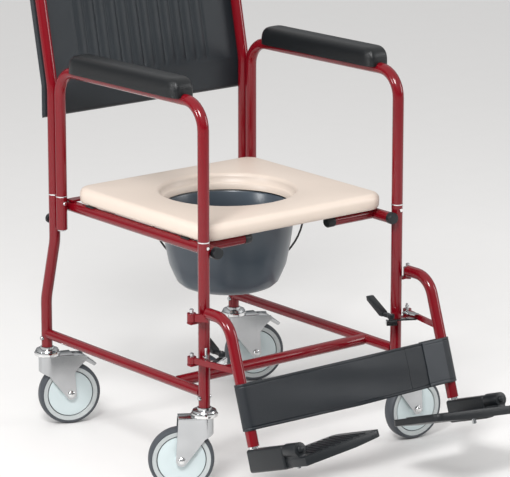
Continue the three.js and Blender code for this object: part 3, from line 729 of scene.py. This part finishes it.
def back_panel():
    across, up = 240, 64
    middle = TUBE_R / math.cos(BACK_LEAN) + 0.8 + PANEL_HALF_DEPTH
    rings = []
    for i in range(up + 1):
        z = PANEL_Z[0] + (PANEL_Z[1] - PANEL_Z[0]) * i / up
        xs = [-PANEL_HALF_WIDTH + 2 * PANEL_HALF_WIDTH * k / across for k in range(across + 1)]
        y = back_y(z) + middle
        front = [at(x, y - panel_relief(x, z), z) for x in xs]
        rear = [at(x, y + 0.98 * min(panel_relief(x, z), PANEL_HALF_DEPTH), z) for x in xs]
        rings.append(front + rear[::-1])
    vertices, faces = skin(rings)
    panel = place("back_panel_fine", vertices, faces, VINYL, "back", smooth=60)
    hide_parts("back_panel")


def back_knob(side, sign):
    outline = [(0, 1.2), (9, 1.2), (9.6, 2.2), (9.6, 7), (7.5, 9), (0, 9.4)]
    foot = at(sign * POST_X, LEG_TOP_Y + TUBE_R, KNOB_Z)
    knob = turned(f"back_knob_{side}_fine", outline, foot, (0, 1, 0), BLACK, f"knob_{side}", 24)
    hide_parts(f"back_knob_{side}")


# ------------------------------------------------------------------ seat and pail

def seat_outline(inset):
    """The board's outline, drawn in by inset, as points round its rounded rectangle."""
    radius = max(SEAT_CORNER_R - inset, 4)
    left, right = -SEAT_HALF_WIDTH + inset + radius, SEAT_HALF_WIDTH - inset - radius
    low, high = SEAT_Y[0] + inset + radius, SEAT_Y[1] - inset - radius
    corners = ((right, low, -90), (right, high, 0), (left, high, 90), (left, low, 180))
    points = []
    for index, (x, y, start) in enumerate(corners):
        for k in range(9):
            angle = math.radians(start + 90 * k / 8)
            points.append((x + radius * math.cos(angle), y + radius * math.sin(angle)))
        next_x, next_y = corners[(index + 1) % 4][:2]
        end = math.radians(start + 90)
        from_point = (x + radius * math.cos(end), y + radius * math.sin(end))
        to_point = (next_x + radius * math.cos(end), next_y + radius * math.sin(end))
        for k in range(1, 16):
            points.append(tuple(a + (b - a) * k / 16 for a, b in zip(from_point, to_point)))
    return points


def seat_board():
    """Blow-moulded board: a rounded rim outside, and a rounded lip down into the round hole."""
    rings = []
    outer = [(SEAT_EDGE_R, 0), (4, 1.5), (0.6, 6), (0, SEAT_Z[1] - SEAT_Z[0] - SEAT_EDGE_R)]
    for k in range(1, 7):
        angle = math.radians(15 * k)
        rise = SEAT_Z[1] - SEAT_Z[0] - SEAT_EDGE_R * (1 - math.sin(angle))
        outer.append((SEAT_EDGE_R * (1 - math.cos(angle)), rise))
    for inset, height in outer:
        rings.append([at(x, y, SEAT_Z[0] + height) for x, y in seat_outline(inset)])
    angles = [math.atan2(y - HOLE_Y, x) for x, y in seat_outline(0)]
    lip = [(HOLE_R + 13, 0), (HOLE_R + 9, -0.8), (HOLE_R + 6, -3), (HOLE_R + 4.4, -7),
           (HOLE_R + 3.8, -17), (HOLE_R + 1.2, -18.4), (HOLE_R - 0.6, -20.5), (HOLE_R - 1, -31),
           (HOLE_R + 12, -31.6)]
    for radius, drop in lip:
        ring = [
            at(radius * math.cos(a), HOLE_Y + radius * math.sin(a), SEAT_Z[1] + drop)
            for a in angles
        ]
        rings.append(ring)
    vertices, faces = skin(rings, closed=True)
    board = place("seat_board_fine", vertices, faces, SEAT, "seat", smooth=60)
    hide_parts("seat_board")


def pail():
    outline = [
        (0, 309), (66, 309), (80, 310.5), (91, 315), (100, 323), (107, 338), (115, 357),
        (122.4, 395), (127, 427), (130, 464.4), (141, 464.4), (143, 466.4), (141, 468.5),
        (127.5, 468.5), (126, 466), (124, 427), (119.4, 395), (112, 357), (103, 338),
        (96, 324), (88, 316.5), (70, 312), (0, 312),
    ]
    bucket = turned("pail_fine", outline, at(0, HOLE_Y, 0), UP, PAIL, "pail", 96)
    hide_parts("pail")
    ear = [(0, 0), (6, 0), (6, 14), (0, 14)]
    for way in (-1, 1):
        x = way * BAIL_EYE * math.sin(BAIL_TURN)
        y = HOLE_Y - way * BAIL_EYE * math.cos(BAIL_TURN)
        outward = (way * math.sin(BAIL_TURN), -way * math.cos(BAIL_TURN), 0)
        foot = at(x, y, BAIL_Z) - Vector(outward) * 0.007
        turned(f"bail_ear_{way}", ear, foot, outward, PAIL, "pail", 24)


def bail():
    swing = Matrix.Rotation(BAIL_TURN, 3, "Z")
    line = []
    spokes = [(BAIL_EYE, 0), (BAIL_EYE + 10, 0)]
    for k in range(31):
        angle = math.radians(4 + 172 * k / 30)
        spokes.append((BAIL_HALF_WIDTH * math.cos(angle), BAIL_REACH * math.sin(angle)))
    spokes += [(-BAIL_EYE - 10, 0), (-BAIL_EYE, 0)]
    for along, out in spokes:
        reach = Vector((out * math.cos(BAIL_DROP), along, -out * math.sin(BAIL_DROP)))
        line.append(at(0, HOLE_Y, BAIL_Z) + swing @ reach / 1000)
    vertices, faces = skin(swept_rings(line, 0.002, 12))
    piece = place("pail_bail_fine", vertices, faces, WIRE, "bail")
    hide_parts("pail_bail")


# ------------------------------------------------------------------ footrests

def ankle_line(z):
    return ANKLE_Y + (z - ANKLE_Z) * math.tan(RAKE)


def hanger(side, sign):
    x = sign * HANGER_X
    body = f"footrest_{side}"
    end_z = ANKLE_Z + HANGER_END * math.cos(RAKE)
    corners = [
        (x, HANGER_START_Y, HANGER_TOP_Z),
        (x, ankle_line(HANGER_TOP_Z), HANGER_TOP_Z),
        (x, ankle_line(end_z), end_z),
    ]
    piece = tube(f"hanger_{side}_tube", corners, body, bend=HANGER_BEND_R)
    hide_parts(f"hanger_{side}")
    for level, (low, high) in enumerate(((334, 350), (253, 266))):
        ring = [(4.6, 0), (8.5, 0), (8.5, high - low), (4.6, high - low)]
        foot = at(sign * HINGE_X, 0, low)
        turned(f"hinge_eye_{side}_{level}", ring, foot, UP, RED, body, 32)
    upper = (x, HANGER_START_Y - 2)
    lower = (x, ankle_line(260) + 4)
    flat_bar(f"hanger_upper_arm_{side}", upper, (sign * 262, -7), 8, (335, 349), body)
    flat_bar(f"hanger_lower_arm_{side}", lower, (sign * 264, -7), 5, (254, 265), body)
    latch(side, sign, body)


def latch(side, sign, body):
    """The plates and pins round the lever that holds a footrest to its post."""
    plates = {
        "plate": ((251, -43), (204, -16), 11, (256, 259)),
        "gusset": ((250, -46), (242, -16), 16, (266, 267.5)),
        "keeper": ((218, -24), (200, -13), 14, (247, 256)),
    }
    for name, (start, end, width, heights) in plates.items():
        near = (sign * start[0], start[1])
        far = (sign * end[0], end[1])
        flat_bar(f"latch_{name}_{side}", near, far, width, heights, body, ZINC)
    pins = {
        "post": ((247, -20, 262), 2.4, 23, 16),
        "pin": ((208, -18, 250), 3.2, 21, 20),
    }
    for name, (foot, radius, height, sides) in pins.items():
        outline = [(0, 0), (radius, 0), (radius, height - 1), (0, height)]
        spot = at(sign * foot[0], foot[1], foot[2])
        turned(f"latch_{name}_{side}", outline, spot, UP, ZINC, body, sides)


def flat_bar(name, start, end, width, heights, body, material=None):
    """An upright-edged bar between two points in plan."""
    a = at(*start, heights[0])
    b = at(*end, heights[0])
    along = (b - a).normalized()
    aside = Vector((-along.y, along.x, 0)) * width / 2000
    rise = Vector((0, 0, (heights[1] - heights[0]) / 1000))
    base = [a - aside, b - aside, b + aside, a + aside]
    vertices = base + [point + rise for point in base]
    faces = [(3, 2, 1, 0), (4, 5, 6, 7)]
    faces += [(k, (k + 1) % 4, (k + 1) % 4 + 4, k + 4) for k in range(4)]
    return place(name, vertices, faces, material or RED, body)


def ankle_block(name, x, forwards, ups, body):
    """A block square to the footplate's axis, with rounded edges."""
    shape = bmesh.new()
    bmesh.ops.create_cube(shape, size=1)
    for vertex in shape.verts:
        forward = forwards[0] + (vertex.co.y + 0.5) * (forwards[1] - forwards[0])
        up = ups[0] + (vertex.co.z + 0.5) * (ups[1] - ups[0])
        vertex.co = ankle(x + vertex.co.x * 25, forward, up)
    bmesh.ops.recalc_face_normals(shape, faces=shape.faces)
    bmesh.ops.bevel(
        shape, geom=shape.edges[:], offset=0.005, segments=4, affect="EDGES", profile=0.5,
    )
    return from_bmesh(name, shape, BLACK, body)


def footrest_fittings(side, sign):
    x = sign * HANGER_X
    slide = f"slide_{side}"
    block = ankle_block(f"footrest_slide_{side}_fine", x, HUB_FORWARD, HUB_UP, slide)
    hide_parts(f"footrest_slide_{side}")
    stem = swept_rings([ankle(x, 0, 5), ankle(x, 0, 110)], SPIGOT_R / 1000, 32)
    place(f"footrest_stem_{side}", *skin(stem), CHROME, slide)
    softened(f"footplate_{side}", 2.5, BLACK)
    softened(f"latch_lever_{side}", 1.5, BLACK)
    tread_ribs(side, sign)
    body = f"plate_{side}"
    forward = ankle(0, 1, 0) - ankle(0, 0, 0)
    down = ankle(0, 0, -1) - ankle(0, 0, 0)
    cap = [(0, 0), (6.5, 0), (6.5, 3), (5, 4.5), (0, 5)]
    turned(f"plate_cap_{side}", cap, ankle(x, 137.5, 0), forward, BLACK, body, 24)
    stud = [(0, 0), (4, 0), (4, 9), (0, 10)]
    foot = ankle(sign * (HANGER_X - 30), 84, -28)
    turned(f"plate_bolt_{side}", stud, foot, down, ZINC, body, 16)


def tread_ribs(side, sign):
    """Raised ribs across a footplate, which slopes up from its hinge."""
    for k in range(9):
        inner = RIB_START + RIB_PITCH * k
        rise = inner * math.sin(PLATE_UP) - PLATE_TOP_DROP * math.cos(PLATE_UP)
        x = sign * (HANGER_X - inner)
        rings = swept_rings([ankle(x, 34, rise), ankle(x, 142, rise)], 0.0013, 8)
        place(f"tread_{side}_{k}", *skin(rings), BLACK, f"plate_{side}")


# ------------------------------------------------------------------ calf strap

def ribbon(name, path, body, ups=STRAP_UP, thickness=2.2, material=None):
    """A flat strip standing on edge along a path of (x, forward) points near the footrests.

    A sewn channel runs along both its edges.
    """
    wide = ups[1] - ups[0]
    lower = [level / wide for level in HEM_LEVELS]
    shares = lower + [0.5] + [1 - share for share in reversed(lower)]
    rings = []
    for i, (x, forward) in enumerate(path):
        before = path[max(i - 1, 0)]
        after = path[min(i + 1, len(path) - 1)]
        length = math.hypot(after[0] - before[0], after[1] - before[1])
        normal = ((after[1] - before[1]) / length, -(after[0] - before[0]) / length)
        ring = []
        for face in (1, -1):
            for share in shares if face > 0 else reversed(shares):
                edge = min(share, 1 - share) * wide
                out = face * half_thickness(edge, thickness)
                sway, sag = strap_slack(x, share)
                up = ups[0] + share * wide - sag
                ring.append(ankle(x + normal[0] * out, forward + normal[1] * out + sway, up))
        rings.append(ring)
    vertices, faces = skin(rings)
    shape = bmesh.new()
    points = [shape.verts.new(vertex) for vertex in vertices]
    for face in faces:
        shape.faces.new([points[index] for index in face])
    bmesh.ops.recalc_face_normals(shape, faces=shape.faces)
    return from_bmesh(name, shape, material or STRAP, body)


def half_thickness(edge, thickness):
    """Half a strap's thickness at a distance in from its edge: rounded, and pinched at the seam."""
    half = thickness / 2 * math.sqrt(min((edge + 0.3) / 1.6, 1))
    if abs(edge - SEAM_IN) < 0.3:
        half *= SEAM_SQUEEZE
    return half


def strap_slack(x, share):
    """How far the strap bellies forward and sags, at a share of its height."""
    slack = 1 - min(abs(x) / (HANGER_X - 20), 1)
    sway = slack * (1.6 * math.sin(3 * math.pi * share + x / 60) + 1.0 * math.cos(x / 28))
    return sway, 2.5 * slack * (1 - share)


def strap_path(sign, split_x, tail):
    """From the meeting edge, along the front, round the footrest tube and back behind it."""
    path = []
    end = sign * HANGER_X
    for k in range(40):
        path.append((split_x + (end - split_x) * k / 40, STRAP_LAP_R))
    for k in range(13):
        angle = math.pi / 2 - math.pi * k / 12
        path.append((end + sign * STRAP_LAP_R * math.cos(angle), STRAP_LAP_R * math.sin(angle)))
    for k in range(1, 7):
        path.append((end - sign * tail * k / 6, -STRAP_LAP_R - 0.4 * k))
    return path


def calf_strap():
    left = ribbon("calf_strap_left_fine", strap_path(-1, STRAP_SPLIT_X - 0.4, 60), "footrest_left")
    right = ribbon("calf_strap_right_fine", strap_path(1, STRAP_SPLIT_X + 0.4, 44), "footrest_right")
    for side, piece in (("left", left), ("right", right)):
        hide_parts(f"calf_strap_{side}")
    lap = [(184 + 50 * k / 10, STRAP_LAP_R + 2.1) for k in range(11)]
    inner = (STRAP_UP[0] + 1.5, STRAP_UP[1] - 1.5)
    ribbon("calf_strap_lap", lap, "footrest_right", inner, 1.6, STRAP_LAP)


# ------------------------------------------------------------------ plain CAD pieces

def paint_cad():
    """Paints the CAD pieces that are shown as they are."""
    shown = {
        "rear_cross_bar": RED,
        "pail_runner_left": ZINC,
        "pail_runner_right": ZINC,
        "arm_button_left": CHROME,
        "arm_button_right": CHROME,
    }
    for node, material in shown.items():
        for holder in frame["nodes"][node].material_slots:
            holder.link = "OBJECT"
            holder.material = material


# ------------------------------------------------------------------ studio

def studio():
    bpy.ops.mesh.primitive_plane_add(size=60, location=(0, 0, 0))
    floor = bpy.context.object
    floor.name = "floor"
    floor.data.materials.append(FLOOR)
    bpy.context.scene.view_settings.view_transform = "Standard"
    bpy.context.scene.world = soft_room()
    area_light("key", (-2.0, -1.6, 2.8), 95, 0.9)
    area_light("fill", (2.8, -2.2, 1.6), 34, 1.4)
    area_light("strip", (-3.2, 0.6, 1.4), 30, 0.5)


def soft_room():
    """A room that is bright overhead and greyer at eye level, so that metal has something to show."""
    world = bpy.data.worlds.new("studio")
    world.use_nodes = True
    nodes = world.node_tree.nodes
    links = world.node_tree.links
    direction = nodes.new("ShaderNodeTexCoord")
    split = nodes.new("ShaderNodeSeparateXYZ")
    ramp = nodes.new("ShaderNodeValToRGB")
    ramp.color_ramp.elements[0].position = 0.05
    ramp.color_ramp.elements[0].color = (0.10, 0.11, 0.12, 1)
    ramp.color_ramp.elements[1].position = 0.6
    ramp.color_ramp.elements[1].color = (1.0, 1.0, 1.0, 1)
    links.new(direction.outputs["Generated"], split.inputs["Vector"])
    links.new(split.outputs["Z"], ramp.inputs["Fac"])
    links.new(ramp.outputs["Color"], nodes["Background"].inputs["Color"])
    nodes["Background"].inputs["Strength"].default_value = 0.85
    return world


def area_light(name, where, power, size):
    lamp = bpy.data.lights.new(name, "AREA")
    lamp.energy = power
    lamp.size = size
    piece = bpy.data.objects.new(name, lamp)
    piece.location = where
    aim = Vector((0, 0, 0.45)) - Vector(where)
    piece.rotation_euler = aim.to_track_quat("-Z", "Y").to_euler()
    bpy.context.scene.collection.objects.link(piece)


def camera():
    eye = bpy.data.cameras.new("camera")
    eye.lens = 230
    eye.sensor_width = 36
    eye.clip_end = 100
    piece = bpy.data.objects.new("camera", eye)
    piece.location = at(-3782, -4626.8, 1995.6)
    aim = at(43.6, 200, 402.6) - piece.location
    piece.rotation_euler = aim.to_track_quat("-Z", "Y").to_euler()
    bpy.context.scene.collection.objects.link(piece)
    bpy.context.scene.camera = piece


# ------------------------------------------------------------------ assembly

for side, sign in SIDES:
    front_post(side, sign)
    rear_leg(side, sign)
    leg_bolts(side, sign)
    seat_rail(side, sign)
    arm(side, sign)
    arm_pad(side, sign)
    back_post(side, sign)
    push_grip(side, sign)
    back_knob(side, sign)
    hanger(side, sign)
    footrest_fittings(side, sign)
lower_frame()
castors()
back_panel()
seat_board()
pail()
bail()
calf_strap()
paint_cad()
studio()
camera()
